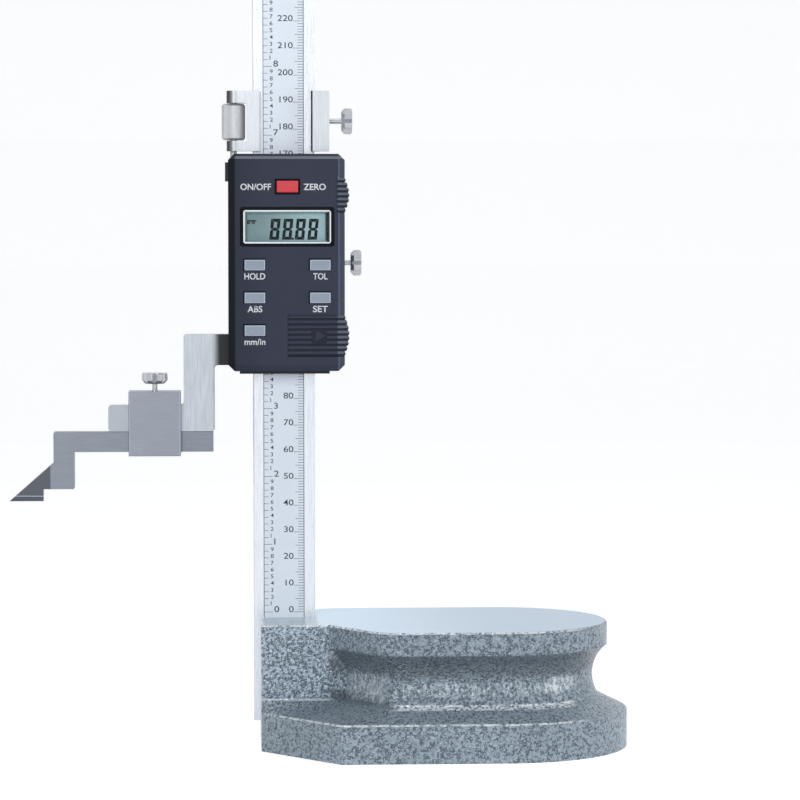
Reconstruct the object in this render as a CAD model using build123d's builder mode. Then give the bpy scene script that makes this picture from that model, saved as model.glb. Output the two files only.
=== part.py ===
"""Digital height gauge: cast base, upright scale beam, sliding display head, fine feed and scriber.

Frame: millimetres, +Z up, origin on the ground at the middle of the base, +X from the beam to the
rounded end, -Y towards the reader. The head stands where the photograph shows it, at 89 mm on the scale.
"""
from build123d import *
from math import cos, pi, radians, sin, tan
import os

os.makedirs("parts", exist_ok=True)

# Fits
running_gap = 0.05
seat_gap = 0.05
bore_gap = 0.05
button_gap = 0.15

# Base casting
base_length = 136.4
base_width = 93.8
base_height = 46.5
flange_edge_height = 14.2
shoulder_rise = 5.7
shoulder_inset = 4.6
table_margin = 7.5
rim_height = 8.5
cove_depth = 5.4
cove_mid_height = 28.0
cove_foot_inset = 3.3
cove_foot_height = 19.3
cove_sweep_reach = 1.0
boss_front = 14.0
boss_rear = 19.3
boss_length = 24.7
boss_ledge = 0.8
flange_corner_angle = 48.6
table_front_angle = 54.0
table_rear_flat = 12.0
table_corner_radius = 14.0
table_edge = 0.7
flange_edge = 0.6
relief_depth = 1.5
relief_margin = 11.0
relief_rib = 14.0

# Beam and its printed plate
beam_width = 23.0
beam_thickness = 4.5
beam_foot = 8.0
beam_length = 350.0
beam_overhang = 2.5
beam_setback = 8.5
beam_edge = 0.3
plate_width = 15.1
plate_margin = 3.8
plate_thickness = 0.4
plate_end_gap = 3.0
beam_screw_radius = 2.0
beam_screw_head_radius = 3.5
beam_screw_head_height = 2.4
beam_screw_inset = 8.2
beam_screw_heights = (24.0, 32.5)

# Sliding head
scale_zero = 49.1
reading = 89.0
slider_height = 78.8
rail_left = 5.0
rail_right = 5.4
web_thickness = 3.5
gib_thickness = 1.0
gib_margin = 1.0
cover_plate_thickness = 1.5
reader_window_width = 15.0
reader_window_height = 46.0
reader_window_rise = 22.0
reader_gap = 0.25
reader_board_thickness = 1.0
reader_post_width = 5.0
reader_post_height = 36.0

# Arm and scriber
arm_thickness = 6.0
arm_setback = 0.5
arm_top_rise = 14.6
arm_under_rise = 3.1
arm_reach = 25.9
leg_width = 11.6
leg_drop = 21.5
jaw_height = 9.7
jaw_reach = 53.9
arm_corner = 1.2
scriber_height = 7.5
scriber_gap = 0.15
scriber_right = 14.85
scriber_left = 74.25
scriber_leg = 7.75
scriber_leg_drop = 21.3
wedge_drop = 11.4
tip_reach = 90.7
tip_drop = 25.85
tip_land = 12.6
tip_thickness = 2.6
facet_inset = 1.1
carbide_height = 1.8
clamp_width = 19.35
clamp_right = 26.95
clamp_wall = 3.0
clamp_floor = 1.4
clamp_roof = 4.1
clamp_pad_thickness = 1.0
clamp_pad_length = 8.0

# Thumb screws
thumb_radius = 4.85
thumb_thickness = 4.0
thumb_shank_radius = 1.0
thumb_notches = 8
thumb_notch_depth = 0.9
thumb_shoulder = 1.2
thumb_edge = 0.4
lock_rise = 41.1
lock_neck = 7.9
carriage_lock_neck = 4.5
clamp_screw_neck = 2.8

# Fine-feed carriage
carriage_gap = 1.1
carriage_height = 22.3
carriage_left = 9.65
carriage_lip_left = 2.5
carriage_lip_right = 1.45
carriage_wall = 2.0
carriage_round = 3.0
nut_window_width = 7.5
nut_window_height = 14.0
nut_window_rise = 3.8
nut_radius = 4.35
nut_end_gap = 0.3
nut_edge = 0.7
feed_left = 7.1
feed_setback = 1.5
feed_screw_radius = 1.25
feed_hole_gap = 0.2
feed_screw_rise = 2.4
feed_hole_depth = 3.4
lug_left = 10.3
lug_height = 7.1
lug_drop = 0.4

# Housing
housing_width = 42.95
housing_height = 80.1
housing_left = 9.2
housing_rise = 1.3
housing_depth = 12.7
housing_front = 13.5
housing_wall = 1.8
housing_bevel = 2.4
housing_corner = 2.3
housing_post = 4.2
housing_post_rises = (3.9, 67.5)

# Display
bezel_width = 34.8
bezel_height = 14.6
bezel_left = 4.3
bezel_rise = 45.95
bezel_depth = 0.5
bezel_round = 1.1
frame_width = 32.2
frame_height = 12.2
frame_band = 0.9
window_thickness = 0.8
lcd_width = 34.0
lcd_height = 15.8
lcd_thickness = 1.8
strip_width = 1.8
strip_length = 29.0
strip_inset = 0.5
board_thickness = 1.0
board_side_gap = 0.4
board_bottom_rise = 5.5
board_top_drop = 3.0

# Buttons
key_width = 7.5
key_height = 3.8
key_proud = 0.8
key_edge = 0.35
key_travel = 0.6
key_flange = 0.7
key_flange_thickness = 0.8
key_left = 9.75
key_pitch_x = 24.1
key_row_rise = 39.2
key_pitch_z = 12.05
power_width = 7.8
power_height = 4.2
power_left = 21.8
power_rise = 68.0
power_well = 0.8
mat_thickness = 1.4

# Battery, its cover and the port cover
battery_radius = 5.8
battery_thickness = 5.4
battery_left = 32.4
battery_rise = 13.1
battery_gap = 0.2
contact_width = 4.0
contact_length = 9.0
contact_leaf = 0.25
cover_left = 21.85
cover_rise = 5.4
cover_height = 15.4
cover_gap = 0.1
cover_skirt = 8.6
cover_ribs = 8
rib_groove = 0.42
bulge = 1.8
arrow_size = 4.2
arrow_field = 5.6
arrow_left = 33.4
port_rise = 58.3
port_height = 13.2
port_lip = 0.6
port_ribs = 7
well_wall = 1.2

# Places worked out from the sizes
base_left = -base_length / 2
flange_radius = base_width / 2
end_x = base_length / 2 - flange_radius
table_radius = flange_radius - table_margin
beam_left = base_left - beam_overhang
beam_right = beam_left + beam_width
beam_front = beam_setback
beam_rear = beam_front + beam_thickness
beam_top = beam_foot + beam_length
plate_left = beam_left + plate_margin
plate_top = beam_top - plate_end_gap
slider_bottom = scale_zero + reading
slider_top = slider_bottom + slider_height
frame_left = beam_left - rail_left
frame_right = beam_right + rail_right
web_front = beam_front - running_gap - web_thickness
frame_rear = beam_rear + running_gap
rail_inner_right = beam_right + 2 * running_gap + gib_thickness
screw_y = (beam_front + beam_rear) / 2
rail_mid_left = (frame_left + beam_left - running_gap) / 2
rail_mid_right = (rail_inner_right + frame_right) / 2
arm_front = beam_front - arm_setback
arm_rear = arm_front + arm_thickness
jaw_bottom = slider_bottom - leg_drop
scriber_top = jaw_bottom - scriber_gap
scriber_bottom = scriber_top - scriber_height
tip_z = scriber_top - tip_drop
carriage_bottom = slider_bottom + housing_rise + housing_height + carriage_gap
carriage_top = carriage_bottom + carriage_height
feed_x = beam_left - feed_left
feed_y = beam_front + feed_setback
window_bottom = carriage_bottom + nut_window_rise
window_top = window_bottom + nut_window_height
window_right = beam_left - carriage_left + nut_window_width
shell_left = beam_left - housing_left
shell_right = shell_left + housing_width
shell_bottom = slider_bottom + housing_rise
shell_top = shell_bottom + housing_height
shell_front = beam_front - housing_front
shell_rear = shell_front + housing_depth
shell_inner = shell_front + housing_wall
board_rear = web_front - seat_gap
board_front = board_rear - board_thickness
bezel_x = shell_left + bezel_left + bezel_width / 2
bezel_z = shell_bottom + bezel_rise + bezel_height / 2
lcd_front = shell_inner + seat_gap
lcd_rear = lcd_front + lcd_thickness
battery_x = shell_left + battery_left
battery_z = shell_bottom + battery_rise
cover_x = shell_left + cover_left
cover_z = shell_bottom + cover_rise
port_x = shell_right - housing_bevel - port_lip
port_z = shell_bottom + port_rise


def level(z):
    """Plane parallel to the ground at height z."""
    return Plane.XY.offset(z)


def facing(y):
    """Upright plane at depth y: local x is X, local y is Z, and it faces the reader."""
    return Plane.XZ.offset(-y)


def sideways(x):
    """Upright plane at x: local x is Y, local y is Z, and it faces right."""
    return Plane.YZ.offset(x)


def from_front(x, y, z):
    """Place of a round piece that is set in from the front."""
    return Plane(origin=(x, y, z), x_dir=(1, 0, 0), z_dir=(0, -1, 0))


def from_behind(x, y, z):
    """Place of a screw that is driven from behind."""
    return Plane(origin=(x, y, z), x_dir=(-1, 0, 0), z_dir=(0, 1, 0))


def from_right(x, y, z):
    """Place of a screw that is driven from the right."""
    return Plane(origin=(x, y, z), x_dir=(0, 1, 0), z_dir=(1, 0, 0))


def from_above(x, y, z):
    """Place of a screw that is driven from above."""
    return Plane(origin=(x, y, z), x_dir=(1, 0, 0), z_dir=(0, 0, 1))


def area(low_x, high_x, low_y, high_y, radius=0.0, mode=Mode.ADD):
    """Rectangle between two corners of the current sketch, with rounded corners where asked."""
    with Locations(((low_x + high_x) / 2, (low_y + high_y) / 2)):
        if radius > 0:
            RectangleRounded(high_x - low_x, high_y - low_y, radius, mode=mode)
        else:
            Rectangle(high_x - low_x, high_y - low_y, mode=mode)


def save(builder, label):
    """Name a finished sub-part and write it as a STEP file."""
    builder.part.label = label
    export_step(builder.part, f"parts/{label}.step")


def thumb_screw(place, neck, shank):
    """Notched thumb screw: its shank goes in at the place, and the neck stands out to the head."""
    side = Plane(origin=place.origin, x_dir=place.x_dir, z_dir=place.x_dir.cross(place.z_dir))
    top = neck + thumb_thickness
    with BuildPart() as screw:
        with BuildSketch(side):
            with BuildLine():
                Polyline(
                    (0, -shank),
                    (thumb_shank_radius, -shank),
                    (thumb_shank_radius, neck),
                    (thumb_radius - thumb_shoulder, neck),
                    (thumb_radius, neck + thumb_shoulder),
                    (thumb_radius, top - thumb_edge),
                    (thumb_radius - thumb_edge, top),
                    (0, top),
                    (0, -shank),
                )
            make_face()
        revolve(axis=Axis(place.origin, place.z_dir))
        with BuildSketch(place.offset(neck)):
            with PolarLocations(thumb_radius, thumb_notches):
                RegularPolygon(thumb_notch_depth, 4)
        extrude(amount=thumb_thickness, mode=Mode.SUBTRACT)
    return screw


# Places of the screws and of the housing's posts
beam_screw_length = boss_rear - beam_front - plate_thickness - seat_gap
beam_screw_places = [from_behind(beam_left + beam_screw_inset, boss_rear, z) for z in beam_screw_heights]
post_places = [(x, slider_bottom + z) for x in (rail_mid_left, rail_mid_right) for z in housing_post_rises]
lock_place = from_right(frame_right, screw_y, slider_bottom + lock_rise)
lock_shank = rail_right - gib_thickness - 2 * running_gap
carriage_lock_place = from_right(frame_right, screw_y, (carriage_bottom + carriage_top) / 2)
clamp_left = beam_left - clamp_right - clamp_width
clamp_window_bottom = scriber_bottom - seat_gap
clamp_bottom = clamp_window_bottom - clamp_floor
clamp_window_top = jaw_bottom + jaw_height + clamp_pad_thickness + 2 * seat_gap
clamp_top = clamp_window_top + clamp_roof
clamp_middle = clamp_left + clamp_width / 2
arm_middle = (arm_front + arm_rear) / 2
clamp_place = from_above(clamp_middle, arm_middle, clamp_top)

# Base casting: the rim's outline runs from inside the boss, round the table and back into the boss
front_slope = tan(radians(table_front_angle))
rear_slope = tan(radians(flange_corner_angle))
notch_x = base_left + boss_length
front_corner = (notch_x + (table_radius - boss_front) / front_slope, -table_radius)
rear_corner = (base_left + (table_radius - table_rear_flat) / rear_slope, table_radius)
front_start = (notch_x - boss_front / 2 / front_slope, -boss_front / 2)
rear_start = (base_left + (boss_rear - table_rear_flat) / 2 / rear_slope, (boss_rear + table_rear_flat) / 2)
rear_out = Vector(-sin(radians(flange_corner_angle)), cos(radians(flange_corner_angle)), 0)
rear_along = Vector(cos(radians(flange_corner_angle)), sin(radians(flange_corner_angle)), 0)
rim_bottom = base_height - rim_height
shoulder_top = flange_edge_height + shoulder_rise
inner_radius = table_radius - shoulder_inset
front_foot_x = notch_x + shoulder_inset / sin(radians(table_front_angle))
rear_foot_flat = table_rear_flat - shoulder_inset / cos(radians(flange_corner_angle))
foot_front = boss_front + boss_ledge
foot_rear = boss_rear + boss_ledge
boss_right = notch_x + (cove_depth + rim_height / 2) / sin(radians(table_front_angle))


def flange_plan(inset):
    """Plan of the flange, moved in by inset on every side but the flat left end."""
    radius = flange_radius - inset
    front = foot_front - inset / cos(radians(flange_corner_angle))
    rear = foot_rear - inset / cos(radians(flange_corner_angle))
    front_x = base_left + (radius - front) / rear_slope
    rear_x = base_left + (radius - rear) / rear_slope
    with BuildSketch() as plan:
        with BuildLine():
            Polyline(
                (end_x, -radius),
                (front_x, -radius),
                ((base_left + front_x) / 2, -(front + radius) / 2),
                (base_left, -front),
                (base_left, rear),
                ((base_left + rear_x) / 2, (rear + radius) / 2),
                (rear_x, radius),
                (end_x, radius),
            )
            ThreePointArc((end_x, radius), (end_x + radius, 0), (end_x, -radius))
        make_face()
    return plan.sketch


with BuildLine() as rim_path:
    FilletPolyline(rear_start, rear_corner, (end_x, table_radius), radius=table_corner_radius)
    ThreePointArc((end_x, table_radius), (end_x + table_radius, 0), (end_x, -table_radius))
    FilletPolyline((end_x, -table_radius), front_corner, front_start, radius=table_corner_radius)

with BuildPart() as base_casting:
    with BuildSketch(level(0)):
        with BuildLine():
            add(rim_path.line)
            Line(front_start, rear_start)
        make_face()
    extrude(amount=base_height)
    with BuildSketch(Plane(origin=(*rear_start, 0), x_dir=rear_out, z_dir=rear_along)) as cove_section:
        with BuildLine():
            cove_foot = (-cove_foot_inset, cove_foot_height)
            ThreePointArc((0, rim_bottom), (-cove_depth, cove_mid_height), cove_foot)
            Polyline(
                cove_foot,
                (-cove_foot_inset, flange_edge_height - cove_sweep_reach),
                (cove_sweep_reach, flange_edge_height - cove_sweep_reach),
                (cove_sweep_reach, rim_bottom),
                (0, rim_bottom),
            )
        make_face()
    sweep(path=rim_path.wire(), mode=Mode.SUBTRACT)
    with BuildSketch(level(0)):
        area(base_left, boss_right, -boss_front, boss_rear)
    extrude(amount=base_height)
    table_outline = base_casting.faces().sort_by(Axis.Z)[-1].edges()
    chamfer(table_outline.filter_by(lambda edge: edge.center().X > base_left + table_edge), table_edge)
    with BuildSketch(level(0)):
        add(flange_plan(0))
    extrude(amount=flange_edge_height - flange_edge)
    with BuildSketch(level(flange_edge_height - flange_edge)):
        add(flange_plan(0))
    with BuildSketch(level(flange_edge_height)):
        add(flange_plan(flange_edge))
    with BuildSketch(level(shoulder_top)):
        with BuildLine():
            Polyline(
                (end_x, -inner_radius),
                (front_foot_x + (inner_radius - foot_front) / front_slope, -inner_radius),
                (front_foot_x, -foot_front),
                (base_left, -foot_front),
                (base_left, foot_rear),
                (base_left + (foot_rear - rear_foot_flat) / rear_slope, foot_rear),
                (base_left + (inner_radius - rear_foot_flat) / rear_slope, inner_radius),
                (end_x, inner_radius),
            )
            ThreePointArc((end_x, inner_radius), (end_x + inner_radius, 0), (end_x, -inner_radius))
        make_face()
    loft(ruled=True)
    # Slot for the beam, open to the left and to the top
    with BuildSketch(level(beam_foot)):
        area(beam_left, beam_right + seat_gap, beam_front - seat_gap, beam_rear + seat_gap)
    extrude(amount=base_height, mode=Mode.SUBTRACT)
    # Ground underside: two shallow reliefs leave a rim and a middle rib
    with BuildSketch(level(0)):
        offset(flange_plan(0), amount=-relief_margin)
        area(-relief_rib / 2, relief_rib / 2, -base_width, base_width, mode=Mode.SUBTRACT)
    extrude(amount=relief_depth, mode=Mode.SUBTRACT)
    with Locations(*beam_screw_places):
        Hole(beam_screw_radius + bore_gap, depth=boss_rear - beam_rear)
save(base_casting, "base_casting")

# Beam, its printed plate and its screws
with BuildPart() as beam:
    with BuildSketch(level(beam_foot)):
        area(beam_left, beam_right, beam_front, beam_rear)
        chamfer(vertices(), beam_edge)
    extrude(amount=beam_length)
    with BuildSketch(facing(beam_front)):
        area(plate_left - seat_gap, plate_left + plate_width + seat_gap, base_height, plate_top)
    extrude(amount=-plate_thickness - seat_gap, mode=Mode.SUBTRACT)
    with Locations(*beam_screw_places):
        Hole(beam_screw_radius + bore_gap, depth=boss_rear - beam_front)
save(beam, "beam")

with BuildPart() as scale_plate:
    with BuildSketch(facing(beam_front + plate_thickness)):
        area(plate_left, plate_left + plate_width, base_height + seat_gap, plate_top - seat_gap)
    extrude(amount=plate_thickness)
save(scale_plate, "scale_plate")

with BuildPart() as beam_screws:
    with Locations(*beam_screw_places):
        Cylinder(beam_screw_radius, beam_screw_length, align=(Align.CENTER, Align.CENTER, Align.MAX))
        Cylinder(
            beam_screw_head_radius,
            beam_screw_head_height,
            align=(Align.CENTER, Align.CENTER, Align.MIN),
        )
save(beam_screws, "beam_screws")

# Slider frame: a channel round the beam with the stepped arm and the feed screw's lug, one piece
arm_left = beam_left - arm_reach
jaw_left = beam_left - jaw_reach
arm_top = slider_bottom + arm_top_rise
arm_under = slider_bottom + arm_under_rise
lug_top = slider_top - lug_drop

with BuildPart() as slider_frame:
    with BuildSketch(level(slider_bottom)):
        area(frame_left, frame_right, web_front, frame_rear)
        area(
            beam_left - running_gap,
            rail_inner_right,
            beam_front - running_gap,
            frame_rear,
            mode=Mode.SUBTRACT,
        )
    extrude(amount=slider_height)
    with BuildSketch(facing(arm_rear)) as arm_outline:
        with BuildLine():
            Polyline(
                (frame_left, arm_top),
                (arm_left, arm_top),
                (arm_left, jaw_bottom + jaw_height),
                (jaw_left, jaw_bottom + jaw_height),
                (jaw_left, jaw_bottom),
                (arm_left + leg_width, jaw_bottom),
                (arm_left + leg_width, arm_under),
                (frame_left, arm_under),
                (frame_left, arm_top),
            )
        make_face()
        fillet(arm_outline.vertices().filter_by(lambda v: v.X < frame_left - seat_gap), arm_corner)
    extrude(amount=arm_thickness)
    with BuildSketch(level(lug_top - lug_height)):
        area(beam_left - lug_left, frame_left, arm_front, frame_rear)
    extrude(amount=lug_height)
    with BuildSketch(facing(web_front)):
        window_left = (beam_left + beam_right - reader_window_width) / 2
        window_low = slider_bottom + reader_window_rise
        area(window_left, window_left + reader_window_width, window_low, window_low + reader_window_height)
    extrude(amount=-web_thickness, mode=Mode.SUBTRACT)
    with Locations(from_above(feed_x, feed_y, lug_top)):
        Hole(feed_screw_radius + bore_gap, depth=lug_height)
    with Locations(lock_place):
        Hole(thumb_shank_radius + bore_gap, depth=rail_right)
save(slider_frame, "slider_frame")

with BuildPart() as slider_gib:
    with BuildSketch(level(slider_bottom + gib_margin)):
        area(beam_right + running_gap, beam_right + running_gap + gib_thickness, beam_front, beam_rear)
    extrude(amount=slider_height - 2 * gib_margin)
save(slider_gib, "slider_gib")

with BuildPart() as slider_back_plate:
    with BuildSketch(facing(frame_rear + cover_plate_thickness)):
        area(frame_left + seat_gap, frame_right - seat_gap, slider_bottom, slider_top)
    extrude(amount=cover_plate_thickness)
    chamfer(slider_back_plate.edges().filter_by(Axis.Y), housing_corner)
save(slider_back_plate, "slider_back_plate")

slider_lock_screw = thumb_screw(lock_place, lock_neck, lock_shank)
save(slider_lock_screw, "slider_lock_screw")

# Fine-feed carriage with its window for the knurled wheel
carriage_x = beam_left - carriage_left
carriage_rear = frame_rear + carriage_wall

with BuildPart() as carriage:
    with BuildSketch(level(carriage_bottom)):
        area(carriage_x, frame_right, web_front, carriage_rear)
        area(
            beam_left - running_gap,
            rail_inner_right,
            beam_front - running_gap,
            frame_rear,
            mode=Mode.SUBTRACT,
        )
        area(
            beam_left + carriage_lip_left,
            beam_right - carriage_lip_right,
            web_front,
            beam_front,
            mode=Mode.SUBTRACT,
        )
    extrude(amount=carriage_height)
    fillet(carriage.edges().filter_by(Axis.Z).sort_by(Axis.X)[:2], carriage_round)
    with BuildSketch(facing(carriage_rear)):
        area(carriage_x, window_right, window_bottom, window_top)
    extrude(amount=carriage_rear - web_front, mode=Mode.SUBTRACT)
    with Locations(from_above(feed_x, feed_y, window_top + feed_hole_depth)):
        Hole(feed_screw_radius + feed_hole_gap, depth=carriage_height)
    with Locations(carriage_lock_place):
        Hole(thumb_shank_radius + bore_gap, depth=rail_right)
save(carriage, "carriage")

with BuildPart() as carriage_gib:
    with BuildSketch(level(carriage_bottom + gib_margin)):
        area(beam_right + running_gap, beam_right + running_gap + gib_thickness, beam_front, beam_rear)
    extrude(amount=carriage_height - 2 * gib_margin)
save(carriage_gib, "carriage_gib")

carriage_lock_screw = thumb_screw(carriage_lock_place, carriage_lock_neck, lock_shank)
save(carriage_lock_screw, "carriage_lock_screw")

# Feed screw, fixed in the slider's lug, and the knurled wheel that the carriage holds
lug_bottom = lug_top - lug_height
feed_screw_length = window_top + feed_screw_rise - lug_bottom

with BuildPart() as feed_screw:
    with Locations(from_above(feed_x, feed_y, lug_bottom)):
        Cylinder(feed_screw_radius, feed_screw_length, align=(Align.CENTER, Align.CENTER, Align.MIN))
save(feed_screw, "feed_screw")

with BuildPart() as feed_nut:
    nut_height = nut_window_height - 2 * nut_end_gap
    nut_bottom = window_bottom + nut_end_gap
    with Locations(from_above(feed_x, feed_y, nut_bottom)):
        Cylinder(nut_radius, nut_height, align=(Align.CENTER, Align.CENTER, Align.MIN))
    chamfer(feed_nut.edges().filter_by(GeomType.CIRCLE), nut_edge)
    with Locations(from_above(feed_x, feed_y, nut_bottom + nut_height)):
        Hole(feed_screw_radius + running_gap, depth=nut_height)
save(feed_nut, "feed_nut")

# Scriber, its carbide edge and the box clamp that holds it under the jaw
scriber_x = beam_left - scriber_left
scriber_end = beam_left - scriber_right
tip_x = beam_left - tip_reach
land_x = tip_x + tip_land
leg_bottom = scriber_top - scriber_leg_drop
wedge_top = scriber_top - wedge_drop
wedge_rise = (wedge_top - tip_z) / (scriber_x - tip_x)
carbide_top = tip_z + carbide_height

with BuildPart() as scriber:
    with BuildSketch(facing(arm_rear)) as scriber_outline:
        with BuildLine():
            Polyline(
                (scriber_end, scriber_top),
                (scriber_x, scriber_top),
                (scriber_x, wedge_top),
                (tip_x + carbide_height / wedge_rise, carbide_top),
                (land_x, carbide_top),
                (land_x, leg_bottom),
                (scriber_x + scriber_leg, leg_bottom),
                (scriber_x + scriber_leg, scriber_bottom),
                (scriber_end, scriber_bottom),
                (scriber_end, scriber_top),
            )
        make_face()
        corners = scriber_outline.vertices().filter_by(lambda v: v.X < scriber_end - seat_gap)
        bar_corners = corners.filter_by(lambda v: v.X > land_x + seat_gap or v.Y > wedge_top + seat_gap)
        fillet(bar_corners, arm_corner / 2)
    extrude(amount=arm_thickness)
    # The wedge is ground thinner on both faces towards its edge
    for side in (arm_front, arm_rear):
        inner = arm_middle + (side - arm_middle) * tip_thickness / arm_thickness
        with BuildSketch(level(tip_z)):
            with BuildLine():
                Polyline(
                    (tip_x, side),
                    (scriber_x - facet_inset, side),
                    (tip_x, inner),
                    (tip_x, side),
                )
            make_face()
        extrude(amount=tip_drop, mode=Mode.SUBTRACT)
save(scriber, "scriber")

with BuildPart() as scriber_tip:
    with BuildSketch(facing(arm_middle + tip_thickness / 2)):
        with BuildLine():
            Polyline(
                (tip_x, tip_z),
                (tip_x + carbide_height / wedge_rise, carbide_top),
                (land_x, carbide_top),
                (land_x, tip_z),
                (tip_x, tip_z),
            )
        make_face()
    extrude(amount=tip_thickness)
save(scriber_tip, "scriber_tip")

with BuildPart() as scriber_clamp:
    with BuildSketch(sideways(clamp_left)):
        area(arm_front - clamp_wall, arm_rear + clamp_wall, clamp_bottom, clamp_top)
        area(
            arm_front - seat_gap,
            arm_rear + seat_gap,
            clamp_window_bottom,
            clamp_window_top,
            mode=Mode.SUBTRACT,
        )
    extrude(amount=clamp_width)
    chamfer(scriber_clamp.faces().sort_by(Axis.Y)[0].edges(), beam_edge)
    with Locations(clamp_place):
        Hole(thumb_shank_radius + bore_gap, depth=clamp_roof)
save(scriber_clamp, "scriber_clamp")

with BuildPart() as clamp_pad:
    with BuildSketch(level(jaw_bottom + jaw_height + seat_gap)):
        area(
            clamp_middle - clamp_pad_length / 2,
            clamp_middle + clamp_pad_length / 2,
            arm_front + seat_gap,
            arm_rear - seat_gap,
        )
    extrude(amount=clamp_pad_thickness)
save(clamp_pad, "clamp_pad")

clamp_screw = thumb_screw(clamp_place, clamp_screw_neck, clamp_roof)
save(clamp_screw, "clamp_screw")

# Housing of the display head
key_columns = (shell_left + key_left, shell_left + key_left + key_pitch_x)
key_rows = [shell_bottom + key_row_rise - row * key_pitch_z for row in range(3)]
key_places = {
    "hold_button": (key_columns[0], key_rows[0]),
    "tolerance_button": (key_columns[1], key_rows[0]),
    "abs_button": (key_columns[0], key_rows[1]),
    "set_button": (key_columns[1], key_rows[1]),
    "unit_button": (key_columns[0], key_rows[2]),
}
power_x = shell_left + power_left
power_z = shell_bottom + power_rise
well_left = cover_x - well_wall
well_right = shell_right - housing_wall - cover_gap
well_rear = board_front - seat_gap

with BuildPart() as housing:
    with BuildSketch(facing(shell_rear)) as shell_outline:
        area(shell_left, shell_right, shell_bottom, shell_top)
        chamfer(shell_outline.vertices(), housing_corner)
    extrude(amount=housing_depth)
    chamfer(housing.faces().sort_by(Axis.Y)[0].edges(), housing_bevel)
    with BuildSketch(facing(shell_rear)):
        offset(shell_outline.sketch_local, amount=-housing_wall, kind=Kind.INTERSECTION)
    extrude(amount=housing_depth - housing_wall, mode=Mode.SUBTRACT)
    # The slider frame comes out through the floor
    with BuildSketch(level(shell_bottom)):
        area(frame_left - seat_gap, frame_right + seat_gap, web_front - seat_gap, shell_rear)
    extrude(amount=housing_wall, mode=Mode.SUBTRACT)
    # Posts that stand on the slider frame
    with BuildSketch(facing(web_front - seat_gap)):
        with Locations(*post_places):
            Rectangle(housing_post, housing_post)
    extrude(amount=web_front - seat_gap - shell_inner)
    # Window: a shallow recess round the opening of the display
    with BuildSketch(facing(shell_front + bezel_depth)):
        area(
            bezel_x - bezel_width / 2,
            bezel_x + bezel_width / 2,
            bezel_z - bezel_height / 2,
            bezel_z + bezel_height / 2,
            bezel_round,
        )
    extrude(amount=bezel_depth, mode=Mode.SUBTRACT)
    with BuildSketch(facing(shell_inner)):
        with Locations((bezel_x, bezel_z)):
            Rectangle(frame_width + 2 * seat_gap, frame_height + 2 * seat_gap)
        with Locations(*key_places.values()):
            Rectangle(key_width + 2 * button_gap, key_height + 2 * button_gap)
        with Locations((power_x, power_z)):
            Rectangle(power_width + 2 * button_gap, power_height + 2 * button_gap)
    extrude(amount=housing_wall, mode=Mode.SUBTRACT)
    with BuildSketch(facing(shell_front + bezel_depth)):
        with Locations((power_x, power_z)):
            Rectangle(power_width + 2 * power_well, power_height + 2 * power_well)
    extrude(amount=bezel_depth, mode=Mode.SUBTRACT)
    # Battery well behind its cover
    with BuildSketch(facing(well_rear)):
        area(well_left, well_right, cover_z - well_wall, cover_z + cover_height + well_wall)
        with Locations((battery_x, battery_z)):
            Circle(battery_radius + battery_gap, mode=Mode.SUBTRACT)
    extrude(amount=well_rear - shell_inner)
    with BuildSketch(facing(shell_inner)):
        area(cover_x, shell_right, cover_z, cover_z + cover_height)
    extrude(amount=housing_wall, mode=Mode.SUBTRACT)
    for low in (cover_z, port_z):
        height = cover_height if low == cover_z else port_height
        with BuildSketch(level(low)):
            area(shell_right - housing_wall - cover_gap, shell_right, shell_front, shell_front + cover_skirt)
        extrude(amount=height, mode=Mode.SUBTRACT)
    with BuildSketch(facing(shell_inner)):
        area(port_x, shell_right, port_z, port_z + port_height)
    extrude(amount=housing_wall, mode=Mode.SUBTRACT)
save(housing, "housing")


def cover_plan(left, reach, inset):
    """Plan of a cover: its right side is moved out by reach and its outer faces in by inset."""
    cover_inner = shell_inner - running_gap
    cover_rear = shell_front + cover_skirt - cover_gap
    side = shell_right + reach - inset
    return [
        (left, shell_front + inset),
        (shell_right - housing_bevel, shell_front + inset),
        (side, shell_front + housing_bevel + inset),
        (side, cover_rear),
        (shell_right - housing_wall, cover_rear),
        (shell_right - housing_wall, cover_inner),
        (left, cover_inner),
    ]


def corner_cover(left, bottom, height, ribs):
    """Ribbed cover that forms the housing's front-right edge between two heights, bulging to the right."""
    low = bottom + cover_gap
    pitch = (height - 2 * cover_gap) / ribs
    with BuildPart() as cover:
        for number in range(ribs):
            reach = bulge * sin(pi * (number + 0.5) / ribs)
            for share, inset in ((0, rib_groove), (0.5, 0), (1, rib_groove)):
                with BuildSketch(level(low + (number + share) * pitch)):
                    Polygon(*cover_plan(left, reach, inset), align=None)
            loft(ruled=True)
    return cover


with BuildPart() as battery_cover:
    add(corner_cover(cover_x + cover_gap, cover_z, cover_height, cover_ribs).part)
    with BuildSketch(facing(shell_front + rib_groove)):
        with Locations((shell_left + arrow_left, battery_z)):
            Rectangle(arrow_field, arrow_field)
    extrude(amount=rib_groove, mode=Mode.SUBTRACT)
    with BuildSketch(facing(shell_front + rib_groove)):
        with Locations((shell_left + arrow_left, battery_z)):
            Triangle(a=arrow_size, B=60, C=60, rotation=-90)
    extrude(amount=rib_groove)
save(battery_cover, "battery_cover")

port_cover = corner_cover(port_x + cover_gap, port_z, port_height, port_ribs)
save(port_cover, "port_cover")

# Display
with BuildPart() as display_frame:
    with BuildSketch(facing(shell_inner)):
        with Locations((bezel_x, bezel_z)):
            RectangleRounded(frame_width, frame_height, frame_band)
            Rectangle(frame_width - 2 * frame_band, frame_height - 2 * frame_band, mode=Mode.SUBTRACT)
    extrude(amount=housing_wall - bezel_depth / 2)
save(display_frame, "display_frame")

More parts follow.
